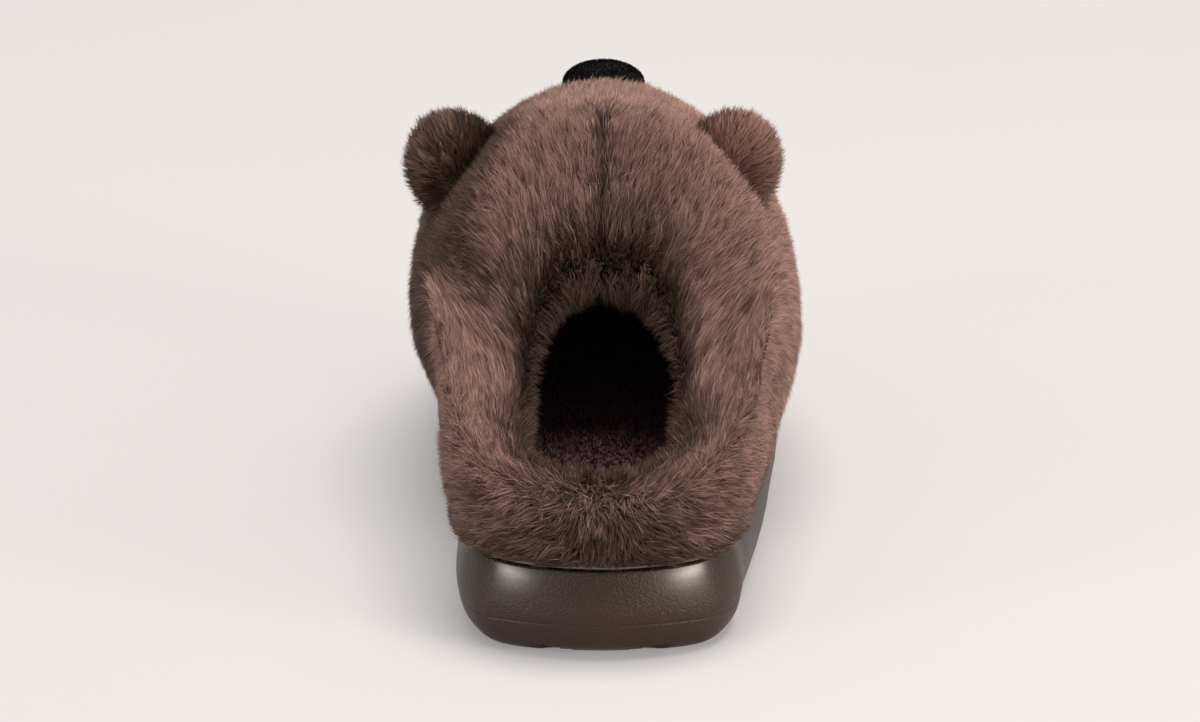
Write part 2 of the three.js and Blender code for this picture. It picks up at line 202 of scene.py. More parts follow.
def addPiece(name, node, slotName, materials, points, faces, uv=None, faceMaterial=None):
    # faces is one array of triangles
    mesh = bpy.data.meshes.new(name)
    faces = np.ascontiguousarray(faces, np.int32)
    mesh.vertices.add(len(points))
    mesh.vertices.foreach_set("co", toFrame(points).astype(np.float32).ravel())
    mesh.loops.add(faces.size)
    mesh.loops.foreach_set("vertex_index", faces.ravel())
    mesh.polygons.add(len(faces))
    mesh.polygons.foreach_set("loop_start", np.arange(0, faces.size, 3, dtype=np.int32))
    if uv is not None:
        layer = mesh.uv_layers.new(name="OFBake")
        layer.uv.foreach_set("vector", uv[faces.ravel()].astype(np.float32).ravel())
    mesh.update(calc_edges=True)
    mesh.validate()
    mesh.shade_smooth()
    for material in materials:
        mesh.materials.append(material)
    if faceMaterial is not None:
        mesh.polygons.foreach_set("material_index", np.ascontiguousarray(faceMaterial, np.int32))
    piece = bpy.data.objects.new(name, mesh)
    bpy.context.scene.collection.objects.link(piece)
    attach(piece, "root")
    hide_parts(node)
    return piece


def gridFaces(rows, columns, wrapRows=False):
    # two triangles for each cell of a grid, whose columns close round into a ring
    i, k = np.meshgrid(np.arange(rows if wrapRows else rows - 1), np.arange(columns), indexing="ij")
    nextI, nextK = (i + 1) % rows, (k + 1) % columns
    corners = [i * columns + k, i * columns + nextK, nextI * columns + nextK, nextI * columns + k]
    quads = np.stack(corners, -1).reshape(-1, 4)
    return np.concatenate([quads[:, [0, 1, 2]], quads[:, [0, 2, 3]]])


# effects that several materials share
def setSockets(tree, node, values):
    # a key is a socket's label, with _ for a space, or its number, such as i2
    for key, value in values.items():
        byNumber = key[0] == "i" and key[1:].isdigit()
        socket = node.inputs[int(key[1:]) if byNumber else key.replace("_", " ")]
        if isinstance(value, bpy.types.NodeSocket):
            tree.links.new(value, socket)
        else:
            socket.default_value = value


def addNode(tree, kind, settings=(), **values):
    node = tree.nodes.new("ShaderNode" + kind)
    for key, value in dict(settings).items():
        setattr(node, key, value)
    setSockets(tree, node, values)
    return node


def mathOf(tree, operation, *terms):
    sockets = {f"i{place}": term for place, term in enumerate(terms)}
    return addNode(tree, "Math", {"operation": operation}, **sockets).outputs[0]


def mixOf(tree, share, a, b):
    return addNode(tree, "Mix", {"data_type": "RGBA"}, i0=share, i6=a, i7=b).outputs[2]


def rangeOf(tree, value, low, high, toLow=0.0, toHigh=1.0):
    smooth = {"interpolation_type": "SMOOTHSTEP"}
    return addNode(tree, "MapRange", smooth, i0=value, i1=low, i2=high, i3=toLow, i4=toHigh).outputs[0]


def bumpOf(tree, height, strength, distance):
    return addNode(tree, "Bump", Height=height, Strength=strength, Distance=distance).outputs[0]


def newGroup(name, inputs, outputs):
    group = bpy.data.node_groups.new(name, "ShaderNodeTree")
    for way, sockets in (("INPUT", inputs), ("OUTPUT", outputs)):
        for label, kind in sockets.items():
            group.interface.new_socket(name=label, in_out=way, socket_type="NodeSocket" + kind)
    return group, group.nodes.new("NodeGroupInput").outputs, group.nodes.new("NodeGroupOutput")


def placeGroup(tree, group, **values):
    return addNode(tree, "Group", {"node_tree": group}, **values).outputs


def makePileTint():
    # colour of one strand: across the map its shade, up the map root to tip, with the root darkened, partly
    # the strand's own darker base and partly painted shade deep in the pile
    group, given, out = newGroup(
        "pileTint",
        {"Deep": "Color", "Middle": "Color", "Light": "Color", "Warm": "Color",
         "Root Dark": "Float", "Root Reach": "Float"},
        {"Color": "Color", "Tip": "Float"},
    )
    places = addNode(group, "UVMap", {"uv_map": "OFBake"})
    parts = addNode(group, "SeparateXYZ", i0=places.outputs[0])
    shade, reach = parts.outputs[0], parts.outputs[1]
    lower = mixOf(group, rangeOf(group, shade, 0.02, 0.45), given["Deep"], given["Middle"])
    body = mixOf(group, rangeOf(group, shade, 0.4, 0.95), lower, given["Light"])
    cycle = mathOf(group, "SINE", mathOf(group, "MULTIPLY", shade, 170.0))
    warmed = mixOf(group, mathOf(group, "MULTIPLY_ADD", cycle, 0.13, 0.14), body, given["Warm"])
    tip = rangeOf(group, reach, 0.0, given["Root Reach"])
    darkness = mathOf(group, "MULTIPLY", mathOf(group, "SUBTRACT", 1.0, tip), given["Root Dark"])
    setSockets(group, out, {"Color": mixOf(group, darkness, warmed, given["Deep"]), "Tip": tip})
    return group


def makeGrain():
    # pebbled grain with a finer tooth in it
    group, given, out = newGroup(
        "pebbleGrain",
        {"Cells": "Float", "Tooth": "Float", "Tooth Share": "Float"},
        {"Height": "Float", "Mask": "Float"},
    )
    where = addNode(group, "TexCoord").outputs["Object"]
    rounded = {"feature": "SMOOTH_F1"}
    cells = addNode(group, "TexVoronoi", rounded, Vector=where, Scale=given["Cells"], Smoothness=0.35)
    distance = cells.outputs["Distance"]
    tooth = addNode(group, "TexNoise", Vector=where, Scale=given["Tooth"], Detail=3.0, Roughness=0.6)
    domes = mathOf(group, "SUBTRACT", 1.0, distance)
    height = addNode(
        group, "Mix", {"data_type": "FLOAT"}, i0=given["Tooth Share"], i2=domes, i3=tooth.outputs[0]
    )
    setSockets(group, out, {"Height": height.outputs[0], "Mask": rangeOf(group, distance, 0.1, 0.6)})
    return group


def makeWearAndGlint():
    # broad cloudiness and small marks, stretched along the shoe: rubbed wear on the sole, and a painted
    # broken highlight on the band
    group, given, out = newGroup(
        "wearAndGlintMarks", {"Size": "Float", "Amount": "Float"}, {"Cloud": "Float", "Marks": "Float"}
    )
    where = addNode(group, "TexCoord").outputs["Object"]
    cloud = addNode(group, "TexNoise", Vector=where, Scale=given["Size"], Detail=4.0, Roughness=0.55)
    stretched = addNode(group, "Mapping", i0=where, i3=(1.0, 0.35, 2.4)).outputs[0]
    fineSize = mathOf(group, "MULTIPLY", given["Size"], 7.0)
    fine = addNode(group, "TexNoise", Vector=stretched, Scale=fineSize, Detail=6.0, Roughness=0.7)
    marks = mathOf(group, "MULTIPLY", rangeOf(group, fine.outputs[0], 0.58, 0.74), given["Amount"])
    setSockets(group, out, {"Cloud": rangeOf(group, cloud.outputs[0], 0.3, 0.7), "Marks": marks})
    return group


def makeNap():
    # the matted ground of a pile cloth
    group, given, out = newGroup(
        "mattedNap",
        {"Size": "Float", "Dark": "Color", "Light": "Color"},
        {"Color": "Color", "Height": "Float"},
    )
    where = addNode(group, "TexCoord").outputs["Object"]
    fibres = addNode(
        group, "TexNoise", Vector=where, Scale=given["Size"], Detail=5.0, Roughness=0.75, Distortion=0.6
    ).outputs[0]
    patches = addNode(group, "TexNoise", Vector=where, Scale=70.0, Detail=2.0).outputs[0]
    share = mathOf(group, "MULTIPLY_ADD", fibres, 0.7, mathOf(group, "MULTIPLY", patches, 0.3))
    color = mixOf(group, rangeOf(group, share, 0.35, 0.68), given["Dark"], given["Light"])
    setSockets(group, out, {"Color": color, "Height": fibres})
    return group


pileTint = makePileTint()
pebbleGrain = makeGrain()
wearAndGlintMarks = makeWearAndGlint()
mattedNap = makeNap()


def newMaterial(name, **sockets):
    material = bpy.data.materials.new(name)
    material.use_nodes = True
    shader = material.node_tree.nodes["Principled BSDF"]
    setSockets(material.node_tree, shader, sockets)
    return material, material.node_tree, shader


def makePileMaterial(name, look):
    material, tree, shader = newMaterial(
        name, Specular_IOR_Level=look["gloss"], Sheen_Weight=look["sheen"], Sheen_Roughness=0.5,
        Sheen_Tint=look["sheenTint"],
    )
    tint = placeGroup(
        tree, pileTint, Deep=look["deep"], Middle=look["middle"], Light=look["light"], Warm=look["warm"],
        Root_Dark=look["rootDark"], Root_Reach=look["rootReach"],
    )
    rough = rangeOf(tree, tint["Tip"], 0.0, 1.0, 0.9, look["roughness"])
    setSockets(tree, shader, {"Base Color": tint["Color"], "Roughness": rough})
    return material


clothBumpDepth = 0.0012


def makeClothMaterial(name, look):
    material, tree, shader = newMaterial(
        name, Roughness=0.95, Specular_IOR_Level=0.15, Sheen_Weight=look["sheen"], Sheen_Roughness=0.6
    )
    nap = placeGroup(tree, mattedNap, Size=look["size"], Dark=look["dark"], Light=look["light"])
    bump = bumpOf(tree, nap["Height"], look["bump"], clothBumpDepth)
    setSockets(tree, shader, {"Base Color": nap["Color"], "Normal": bump})
    return material


def makeMouldedMaterial(name, look):
    material, tree, shader = newMaterial(
        name, Specular_IOR_Level=look["gloss"], Coat_Weight=look["coat"],
        Coat_Roughness=look["coatRoughness"], Coat_IOR=look["coatIor"],
    )
    grain = placeGroup(tree, pebbleGrain, Cells=look["cells"], Tooth=look["tooth"], Tooth_Share=0.4)
    marks = placeGroup(tree, wearAndGlintMarks, Size=look["cloudSize"], Amount=look["marks"])
    clouded = mixOf(tree, marks["Cloud"], look["dark"], look["light"])
    # the lighter marks are rubbed wear on the sole and a painted broken highlight on the band
    wearAndGlint = mixOf(tree, marks["Marks"], clouded, look["wearAndGlint"])
    pits = mathOf(tree, "MULTIPLY", grain["Mask"], look["pitShade"])
    rough = rangeOf(tree, marks["Cloud"], 0.0, 1.0, *look["roughness"])
    setSockets(tree, shader, {
        "Base Color": mixOf(tree, pits, wearAndGlint, look["pit"]),
        "Roughness": mathOf(tree, "MULTIPLY_ADD", marks["Marks"], 0.2, rough),
        "Normal": bumpOf(tree, grain["Height"], look["bump"], look["bumpDepth"]),
    })
    return material


# sole
solePiece = {
    "stations": 480,
    "crossings": 26,
    "hemInset": 5.5,
    "hemWall": 5.0,
    "wellDepth": 5.0,
    "wellDraft": 1.0,
    "mouldLine": 0.365,
    "mouldLineDepth": 0.2,
    "rimSteps": (0.36, 0.84),  # insets of the ledge's first two rings past the top of the side
    "treadDepth": 2.2,
    "treadGroove": 4.0,
    "treadPitch": 17.0,
    "treadWave": 6.0,
    "treadPads": [(0.035, 0.32), (0.56, 0.9)],
    "side": [(0.0, 7.0), (0.03, 5.0), (0.08, 3.4), (0.2, 1.5), (0.37, 0.35), (0.48, 0.0), (0.6, 0.25),
             (0.72, 0.85), (0.84, 1.75), (0.93, 2.6), (1.0, 3.45)],
}
soleLook = {
    "dark": (0.032, 0.012, 0.0045, 1), "light": (0.042, 0.0165, 0.007, 1), "wearAndGlint": (0.08, 0.05, 0.036, 1),
    "pit": (0.016, 0.009, 0.007, 1), "pitShade": 0.35, "marks": 0.25, "cloudSize": 22.0,
    "roughness": (0.33, 0.4), "gloss": 0.14, "coat": 0.09, "coatRoughness": 0.3, "coatIor": 2.4,
    "cells": 1300.0, "tooth": 3200.0, "bump": 0.6, "bumpDepth": 0.0007,
}
wellInset = solePiece["hemInset"] + solePiece["hemWall"] + shoe["clearance"]


def treadMask(x, y):
    # 1 in the wavy grooves of the tread, 0 on its bars
    s = solePiece
    mask = np.zeros_like(x)
    toothSize = shoe["ballWidth"] / 5
    zigzag = np.abs(((x / toothSize + 3) % 2) - 1) - 0.5
    for pad in s["treadPads"]:
        start, end = (share * soleLength for share in pad)
        for grooveY in np.arange(start, end, s["treadPitch"]):
            distance = np.abs(y - grooveY + zigzag * s["treadWave"])
            mask = np.maximum(mask, soften(s["treadGroove"] / 2 + 0.5 - distance))
    return mask


def crossedFloor(ring, crossings):
    # inner points of rungs laid straight across a ring of stations, each cut into as many steps
    half = len(ring) // 2
    outer, inner = ring[1:half], ring[:half:-1]
    share = np.linspace(0, 1, crossings + 1)[1:-1]
    return (outer[:, None] + (inner - outer)[:, None] * share[None, :, None]).reshape(-1, 3)


def crossedFaces(count, crossings, first, ringFirst, upwards):
    # triangles between the rungs, and fans from the outermost rungs to the ring's two ends
    half = count // 2
    rung = np.arange(1, half)[:, None]
    inner = first + (rung - 1) * (crossings - 1) + np.arange(crossings - 1)
    corner = np.hstack([ringFirst + rung, inner, ringFirst + count - rung])
    a, b, c, d = corner[:-1, :-1], corner[1:, :-1], corner[1:, 1:], corner[:-1, 1:]
    heel, toe = np.full(crossings, ringFirst), np.full(crossings, ringFirst + half)
    heelFan, toeFan = (corner[0, 1:], corner[0, :-1], heel), (corner[-1, :-1], corner[-1, 1:], toe)
    parts = [(a, b, c), (a, c, d), heelFan, toeFan]
    triangles = np.concatenate([np.stack(part, -1).reshape(-1, 3) for part in parts])
    return triangles if upwards else triangles[:, ::-1]


def makeSole(material):
    s = solePiece
    count = s["stations"]
    line = s["mouldLine"]
    # the rings stand closest round the mould line and at the two edges
    ups = np.unique(np.concatenate([
        np.linspace(0, 0.12, 7), np.linspace(0.12, 0.32, 6), line + np.linspace(-0.035, 0.035, 11),
        np.linspace(0.42, 0.84, 8), np.linspace(0.84, 1.0, 8),
    ]))
    places, insets = zip(*s["side"])
    rings = []
    for up in ups:
        inset = float(curveThrough(places, insets, up)) + s["mouldLineDepth"] * bell((up - line) / 0.011)
        rings.append(ringOf(count, inset, lambda y, up=up: blendOf(groundHeight(y), ledgeHeight(y), up)))
    for inset in (insets[-1] + s["rimSteps"][0], insets[-1] + s["rimSteps"][1], wellInset):
        rings.append(ringOf(count, inset, ledgeHeight))
    rings.append(ringOf(count, wellInset + s["wellDraft"], lambda y: ledgeHeight(y) - s["wellDepth"]))
    floor, well = crossedFloor(rings[0], s["crossings"]), crossedFloor(rings[-1], s["crossings"])
    side = np.concatenate(rings)
    for part in (floor, side):
        low = groundHeight(part[:, 1])
        lifted = low + s["treadDepth"] * treadMask(part[:, 0], part[:, 1])
        nearFloor = part[:, 2] < low + s["treadDepth"] + 0.01
        part[:, 2] = np.where(nearFloor, np.maximum(part[:, 2], lifted), part[:, 2])
    points = np.concatenate([side, floor, well])
    faces = np.concatenate([
        gridFaces(len(rings), count),
        crossedFaces(count, s["crossings"], len(side), 0, False),
        crossedFaces(count, s["crossings"], len(side) + len(floor), (len(rings) - 1) * count, True),
    ])
    addPiece("sole_moulding", "sole", "sole_foam", [material], points, faces)


makeSole(makeMouldedMaterial("mouldedFoam", soleLook))
print("sole made")

# band round the foot of the fur
bandPiece = {"stations": 420, "inset": 3.6, "height": 3.2, "thickness": 1.6, "steps": 14}
# the band's light marks are a painted broken highlight along it
bandLook = {
    "dark": (0.012, 0.007, 0.005, 1), "light": (0.02, 0.012, 0.009, 1), "wearAndGlint": (0.10, 0.07, 0.05, 1),
    "pit": (0.006, 0.004, 0.003, 1), "pitShade": 0.3, "marks": 0.6, "cloudSize": 60.0,
    "roughness": (0.2, 0.3), "gloss": 0.8, "coat": 0.3, "coatRoughness": 0.12, "coatIor": 2.4,
    "cells": 1500.0, "tooth": 3000.0, "bump": 0.35, "bumpDepth": 0.0004,
}


def makeBand(material):
    s = bandPiece
    rings = []
    for turn in np.arange(s["steps"]) / s["steps"] * 2 * math.pi:
        across = math.copysign(abs(math.cos(turn)) ** 0.5, math.cos(turn))
        up = math.copysign(abs(math.sin(turn)) ** 0.6, math.sin(turn))
        inset = s["inset"] + s["thickness"] / 2 - across * s["thickness"] / 2
        rise = s["height"] * (0.5 + up / 2) + shoe["clearance"]
        rings.append(ringOf(s["stations"], inset, lambda y, rise=rise: ledgeHeight(y) + rise))
    points = np.concatenate(rings)
    points[:, 2] += 0.12 * ripples(points, 23.0, 5)
    faces = gridFaces(len(rings), s["stations"], wrapRows=True)
    addPiece("band_piping", "wrap_band", "band", [material], points, faces)


makeBand(makeMouldedMaterial("gluedBand", bandLook))
print("band made")

# wall of the upper, over the pile
foldColumns = ("back", "wide", "front", "half", "heel", "toe", "low", "side", "high")
outsideFolds = {
    "jowl": (0.004, 0.585, 0.972, 1.0, 2.8, 2.3, 0.77, 0.43, 0.47),
    "snout": (0.011, 0.56, 0.91, 0.985, 2.75, 2.3, 0.88, 0.53, 0.73),
    "brow": (0.024, 0.515, 0.77, 0.945, 2.7, 2.2, 0.95, 0.59, 0.86),
    "crown": (0.041, 0.45, 0.625, 0.895, 2.7, 2.3, 0.99, 0.58, 0.955),
    "ridge": (0.062, 0.4, 0.515, 0.82, 2.8, 2.6, 1.0, 0.535, 0.995),
    "nape": (0.083, 0.33, 0.458, 0.61, 2.8, 2.6, 0.98, 0.49, 0.82),
}
lipFold = (0.106, 0.21, 0.39, 1.0, 3.0, 2.6, 0.91, 0.65, 1.0)
insideFolds = {
    "throat": (0.1, 0.28, 0.415, 0.45, 2.8, 2.4, 0.8, 0.37, 0.58),
    "vault": (0.075, 0.42, 0.56, 0.66, 2.6, 2.4, 0.72, 0.46, 0.73),
    "palate": (0.058, 0.52, 0.76, 0.77, 2.6, 2.4, 0.68, 0.41, 0.66),
}
wallPiece = {
    "jowlPinch": 10.0,
    "jowlPlace": 0.3,
    "jowlSpan": 35.0,
    "muzzleLift": 8.0,
    "muzzleWidth": 62.0,
    "muzzleLength": 60.0,
    "muzzlePlace": 0.824,
    "seamDepth": 2.5,
    "seamWidth": 9.0,
    "seamEnd": 0.62,
    "hemRise": 7.5,
    "hemSwell": 1.5,
}
# knots of the wall's section: 0 foot, 1 band, 2 hem, 3 jowl, 4 snout, 5 brow, 6 crown, 7 ridge, 8 nape,
# 9 lip, 10 throat, 11 vault, 12 palate, 13 edge of the cavity, 14 foot
hemKnot, lipKnot, edgeKnot, lastKnot = 2, 9, 13, 14


def foldLine(row, turn, side, half, high, low, pinch):
    fold = dict(zip(foldColumns, row))
    forward = -np.cos(turn)
    ahead = forward > 0
    power = np.where(ahead, fold["toe"], fold["heel"])
    across = np.maximum(0, np.sin(turn)) ** (2 / power)
    reach = np.abs(forward) ** (2 / power)
    share = blendOf(fold["wide"], np.where(ahead, fold["front"], fold["back"]), reach)
    y = share * soleLength
    sideHeight = fold["side"] * high
    over = blendOf(sideHeight, fold["high"] * high, forward)
    z = np.where(ahead, over, blendOf(sideHeight, fold["low"] * low, forward ** 2))
    pinched = pinch * wallPiece["jowlPinch"]
    waist = bell((y - wallPiece["jowlPlace"] * soleLength) / wallPiece["jowlSpan"])
    width = fold["half"] * half * across - pinched * waist
    lean = middleLine(y) * (1 - soften(0.85 * z / shoe["throatHeight"]))
    x = side * np.where(across > 0, np.maximum(0, width), 0) + lean
    return np.stack([x, y, z], 1)


def wallKnots(count):
    turn, side = stationsOf(count)
    line, away = outlineOf(count)
    w = wallPiece
    hem = solePiece["hemInset"]

    def edge(inset, rise):
        flat = line - away * np.broadcast_to(inset, len(line))[:, None]
        return np.column_stack([flat, ledgeHeight(flat[:, 1]) + shoe["clearance"] + rise])

    head = (shoe["headWidth"] / 2, shoe["headHeight"], shoe["collarHeight"])
    opening = (shoe["openingWidth"] / 2, shoe["throatHeight"], shoe["collarHeight"])
    toeward = soften(line[:, 1] / soleLength)
    knots = [edge(hem, 0), edge(hem - 0.2, bandPiece["height"]), edge(-w["hemSwell"], w["hemRise"])]
    knots += [foldLine(row, turn, side, *head, 1) for row in outsideFolds.values()]
    knots.append(foldLine(lipFold, turn, side, *opening, 0))
    knots += [foldLine(row, turn, side, *head, 0) for row in insideFolds.values()]
    inner = hem + solePiece["hemWall"]
    knots += [edge(inner + blendOf(0.5, 8.0, toeward), blendOf(4.0, 24.0, toeward)), edge(inner, 0)]
    return np.stack(knots)


def alongKnots(knots, at):
    # centripetal curve through the knots, at places counted in knots
    first, last = 2 * knots[:1] - knots[1:2], 2 * knots[-1:] - knots[-2:-1]
    rows = np.concatenate([first, knots, last])
    i = np.minimum(np.floor(at).astype(int), len(knots) - 2)
    t = (at - i)[:, None, None]
    a, b, c, d = rows[i], rows[i + 1], rows[i + 2], rows[i + 3]
    s0, s1, s2 = (
        np.maximum(np.sum((q - p) ** 2, -1, keepdims=True) ** 0.25, 1e-4)
        for p, q in ((a, b), (b, c), (c, d))
    )
    startSlope = ((b - a) / s0 - (c - a) / (s0 + s1) + (c - b) / s1) * s1
    endSlope = ((c - b) / s1 - (d - b) / (s1 + s2) + (d - c) / s2) * s1
    return bendBetween(b, c, startSlope, endSlope, t)


def shapeHead(p):
    w = wallPiece
    along = p[..., 1] - w["muzzlePlace"] * soleLength
    muzzle = w["muzzleLift"] * bell(2 * p[..., 0] / w["muzzleWidth"]) * bell(2 * along / w["muzzleLength"])
    seamEnds = soften((w["seamEnd"] * soleLength - p[..., 1]) / 20)
    onCrown = soften((p[..., 2] - shoe["throatHeight"]) / 12) * seamEnds
    seam = w["seamDepth"] * bell(2 * p[..., 0] / w["seamWidth"]) * onCrown
    move = np.stack([np.zeros_like(muzzle), 0.35 * muzzle + 0.85 * seam, 0.94 * muzzle - 0.5 * seam], -1)
    return p + move


softPiece = {"stations": 260, "stepsPerFold": 14, "rounds": 120}


def makeSoftWall():
    # the wall with its long edges round the collar rolled softer, as the thick pile leaves them
    s = softPiece
    places = np.linspace(0, lastKnot, lastKnot * s["stepsPerFold"] + 1)
    sheet = alongKnots(wallKnots(s["stations"]), places)
    outside = places < lipKnot
    sheet[outside] = shapeHead(sheet[outside])
    share = alongShoe(sheet)
    collar = soften((0.62 - share) / 0.12) * soften((share - 0.06) / 0.08)
    fold = (soften((places - 3.0) / 1.0) * soften((lipKnot + 0.6 - places) / 0.8))[:, None]
    hold = (0.5 * collar * fold)[..., None]
    for _ in range(s["rounds"]):
        around = (np.roll(sheet, 1, 1) + np.roll(sheet, -1, 1)) / 2
        along = sheet.copy()
        along[1:-1] = (sheet[2:] + sheet[:-2]) / 2
        sheet = sheet + hold * ((around + along) / 2 - sheet)
    return places, sheet


wallPlaces, softWall = makeSoftWall()


def normalsOf(sheet):
    along = np.roll(sheet, -1, 1) - np.roll(sheet, 1, 1)
    up = np.gradient(sheet, axis=0)
    return unit(np.cross(along, up))


# how deep the cloth lies under the tips of the pile, at each knot
pileDepths = [0.2, 0.5, 3.2, 5.2, 6.0, 6.0, 6.0, 5.8, 5.2, 4.2, 2.4, 1.2, 1.0, 0.6, 0.2]
skinPiece = {"everyStation": 2, "everyStep": 2}
skinLook = {
    "dark": (0.012, 0.007, 0.006, 1), "light": (0.05, 0.028, 0.022, 1),
    "size": 1400.0, "sheen": 0.1, "bump": 0.9,
}
# near black: painted shade for the unlit inside of the slipper
liningLook = {
    "dark": (0.006, 0.004, 0.004, 1), "light": (0.022, 0.015, 0.014, 1),
    "size": 1100.0, "sheen": 0.15, "bump": 0.8,
}


def pileDepthAt(knot):
    return np.interp(knot, np.arange(lastKnot + 1), pileDepths)


def makeSkin(skin, lining):
    s = skinPiece
    places, sheet = wallPlaces[::s["everyStep"]], softWall[::s["everyStep"], ::s["everyStation"]]
    points = (sheet - normalsOf(sheet) * pileDepthAt(places)[:, None, None]).reshape(-1, 3)
    faces = gridFaces(len(places), sheet.shape[1], wrapRows=True)
    inside = places[faces[:, 0] // sheet.shape[1]] >= lipKnot + 1.0
    addPiece("upper_skin", "upper", "fur", [skin, lining], points, faces, None, inside)


makeSkin(makeClothMaterial("furBacking", skinLook), makeClothMaterial("liningCloth", liningLook))
print("skin made")

# the pelt: the wall again, laid out evenly from the hem to the cavity, for the fur to grow on
peltPiece = {"rows": 220, "skirt": 4.6, "skirtRows": 7}


def makePelt():
    s = peltPiece
    grows = (wallPlaces >= hemKnot) & (wallPlaces <= edgeKnot)
    places, sheet = wallPlaces[grows], softWall[grows]
    count = sheet.shape[1]
    drops = np.linspace(s["skirt"], 1.0, s["skirtRows"])
    middle = np.array([0.0, soleLength / 2])
    inwards = unit(middle - sheet[0][:, :2])
    skirt = [np.column_stack([sheet[0][:, :2] + inwards * 0.05 * d, sheet[0][:, 2] - d]) for d in drops]
    sheet = np.concatenate([np.stack(skirt), sheet])
    places = np.concatenate([hemKnot - drops / s["skirt"], places])
    step = np.linalg.norm(np.diff(sheet, axis=0), axis=2)
    walked = np.concatenate([np.zeros((1, count)), np.cumsum(step, 0)])
    even = np.linspace(0, 1, s["rows"])
    grid = np.zeros((s["rows"], count, 3))
    knot, fromLip = np.zeros((2, s["rows"], count))
    for k in range(count):
        at = even * walked[-1, k]
        for axis in range(3):
            grid[:, k, axis] = np.interp(at, walked[:, k], sheet[:, k, axis])
        knot[:, k] = np.interp(at, walked[:, k], places)
        fromLip[:, k] = np.interp(lipKnot, places, walked[:, k]) - at
    normal = normalsOf(grid)
    for _ in range(2):
        normal = unit(normal + np.roll(normal, 1, 1) + np.roll(normal, -1, 1))
    around = (np.roll(grid, -1, 1) - np.roll(grid, 1, 1)) / 2
    up = np.gradient(grid, axis=0)
    return {"grid": grid, "normal": normal, "knot": knot, "fromLip": fromLip, "around": around, "up": up}


pelt = makePelt()


def peltAt(field, u, w):
    # u in stations, w in rows
    field = pelt[field]
    rows, count = field.shape[:2]
    w = np.clip(w, 0, rows - 1.001)
    i, k = np.floor(w).astype(int), np.floor(u).astype(int)
    fw, fu = w - i, u - k
    if field.ndim == 3:
        fw, fu = fw[:, None], fu[:, None]
    k0, k1 = k % count, (k + 1) % count
    low = field[i, k0] * (1 - fu) + field[i, k1] * fu
    high = field[i + 1, k0] * (1 - fu) + field[i + 1, k1] * fu
    return low * (1 - fw) + high * fw


def scatterOn(count, weight, draw):
    # places on the pelt, evenly by area times the weight of each cell
    grid = pelt["grid"]
    along = np.roll(grid, -1, 1)[:-1] - grid[:-1]
    up = grid[1:] - grid[:-1]
    area = np.linalg.norm(np.cross(along, up), axis=2) * weight
    total = np.cumsum(area.ravel())
    cell = np.searchsorted(total, draw.uniform(0, total[-1], count))
    i, k = np.divmod(cell, grid.shape[1])
    return k + draw.uniform(size=count), i + draw.uniform(size=count), total[-1]


furPiece = {
    "strands": 150000,
    "underStrands": 235000,
    "clumps": 21000,
    "length": 8.5,
    "widths": (0.42, 0.34),  # at the root and in the middle
    "underWidth": 0.46,
    "underShade": -0.08,  # the undercoat is darker
    "divide": 8.0,  # how far outside the lip the pile parts
    "divideWidth": 8.0,
    "pull": 0.5,
    "partingStray": 3.5,  # how far strands wander over that parting
    "hemRows": 7.0,  # rows of the pelt at the hem where strands end
    "maxRise": 2.5,
    "lastKnot": 10.8,  # no strands root beyond this knot
    "clumpTint": 0.14,
    "strandTint": 0.11,
    "collarEnd": 0.37,  # share of the length where the pieces of the collar end
    "crownKnot": 6.0,
    "noseGap": 0.2,
    "seed": 11,
}
furLook = {
    "deep": (0.012, 0.0065, 0.005, 1), "middle": (0.088, 0.048, 0.037, 1), "light": (0.46, 0.275, 0.222, 1),
    "warm": (0.24, 0.105, 0.07, 1), "rootDark": 0.9, "rootReach": 0.85, "roughness": 0.5, "gloss": 0.12,
    "sheen": 0.15, "sheenTint": (0.75, 0.62, 0.56, 1),
}
furShades = {
    "open": 0.8,
    "mouth": 0.58,  # this and the ones that follow are painted shade, taken off towards the opening, along the parting, on the collar, low on the heel, on the far side of the head, at the hem and at the top of the rim
    "parting": 0.5,
    "collar": 0.09,
    "lowHeel": 0.13,
    "lowMiddle": 0.3,
    "farSide": 0.46,
    "hem": 0.18,
    "highHem": 0.14,
    "rim": 0.15,
}
mapHalf, mapRoot, mapMiddle, mapTip = 0.004, 0.01, 0.5, 0.99  # a strand's place on the colour map


def lieOf(u, w):
    # angle of the lie: 0 runs straight out from the opening and down the wall, positive leans towards the toe
    p = peltAt("grid", u, w)
    knot = peltAt("knot", u, w)
    share = alongShoe(p)
    atHeel = soften((0.36 - share) / 0.3)
    fan = soften(np.abs(p[:, 0]) / 12.0)
    lean = 1.15 * atHeel * fan + 0.35 * (1 - atHeel) * soften((0.62 - share) / 0.2)
    onVamp = soften((p[:, 2] - 70) / 25) * soften((0.66 - share) / 0.08) * soften((share - 0.25) / 0.1)
    lean = lean * (1 - onVamp) - 0.4 * onVamp * bell(p[:, 0] / 15.0)
    lean = lean * soften((10.5 - knot) / 1.5)
    return lean + 0.22 * ripples(p, 46.0, 3) + 0.15 * ripples(p, 17.0, 4)


def flowOf(u, w, stray):
    # 1 lies outward, -1 lies into the opening, and the pile stands up where the two part
    away = (peltAt("fromLip", u, w) + stray - furPiece["divide"]) / furPiece["divideWidth"]
    away = np.clip(away, -1, 1)
    return away * (1.5 - 0.5 * np.abs(away))


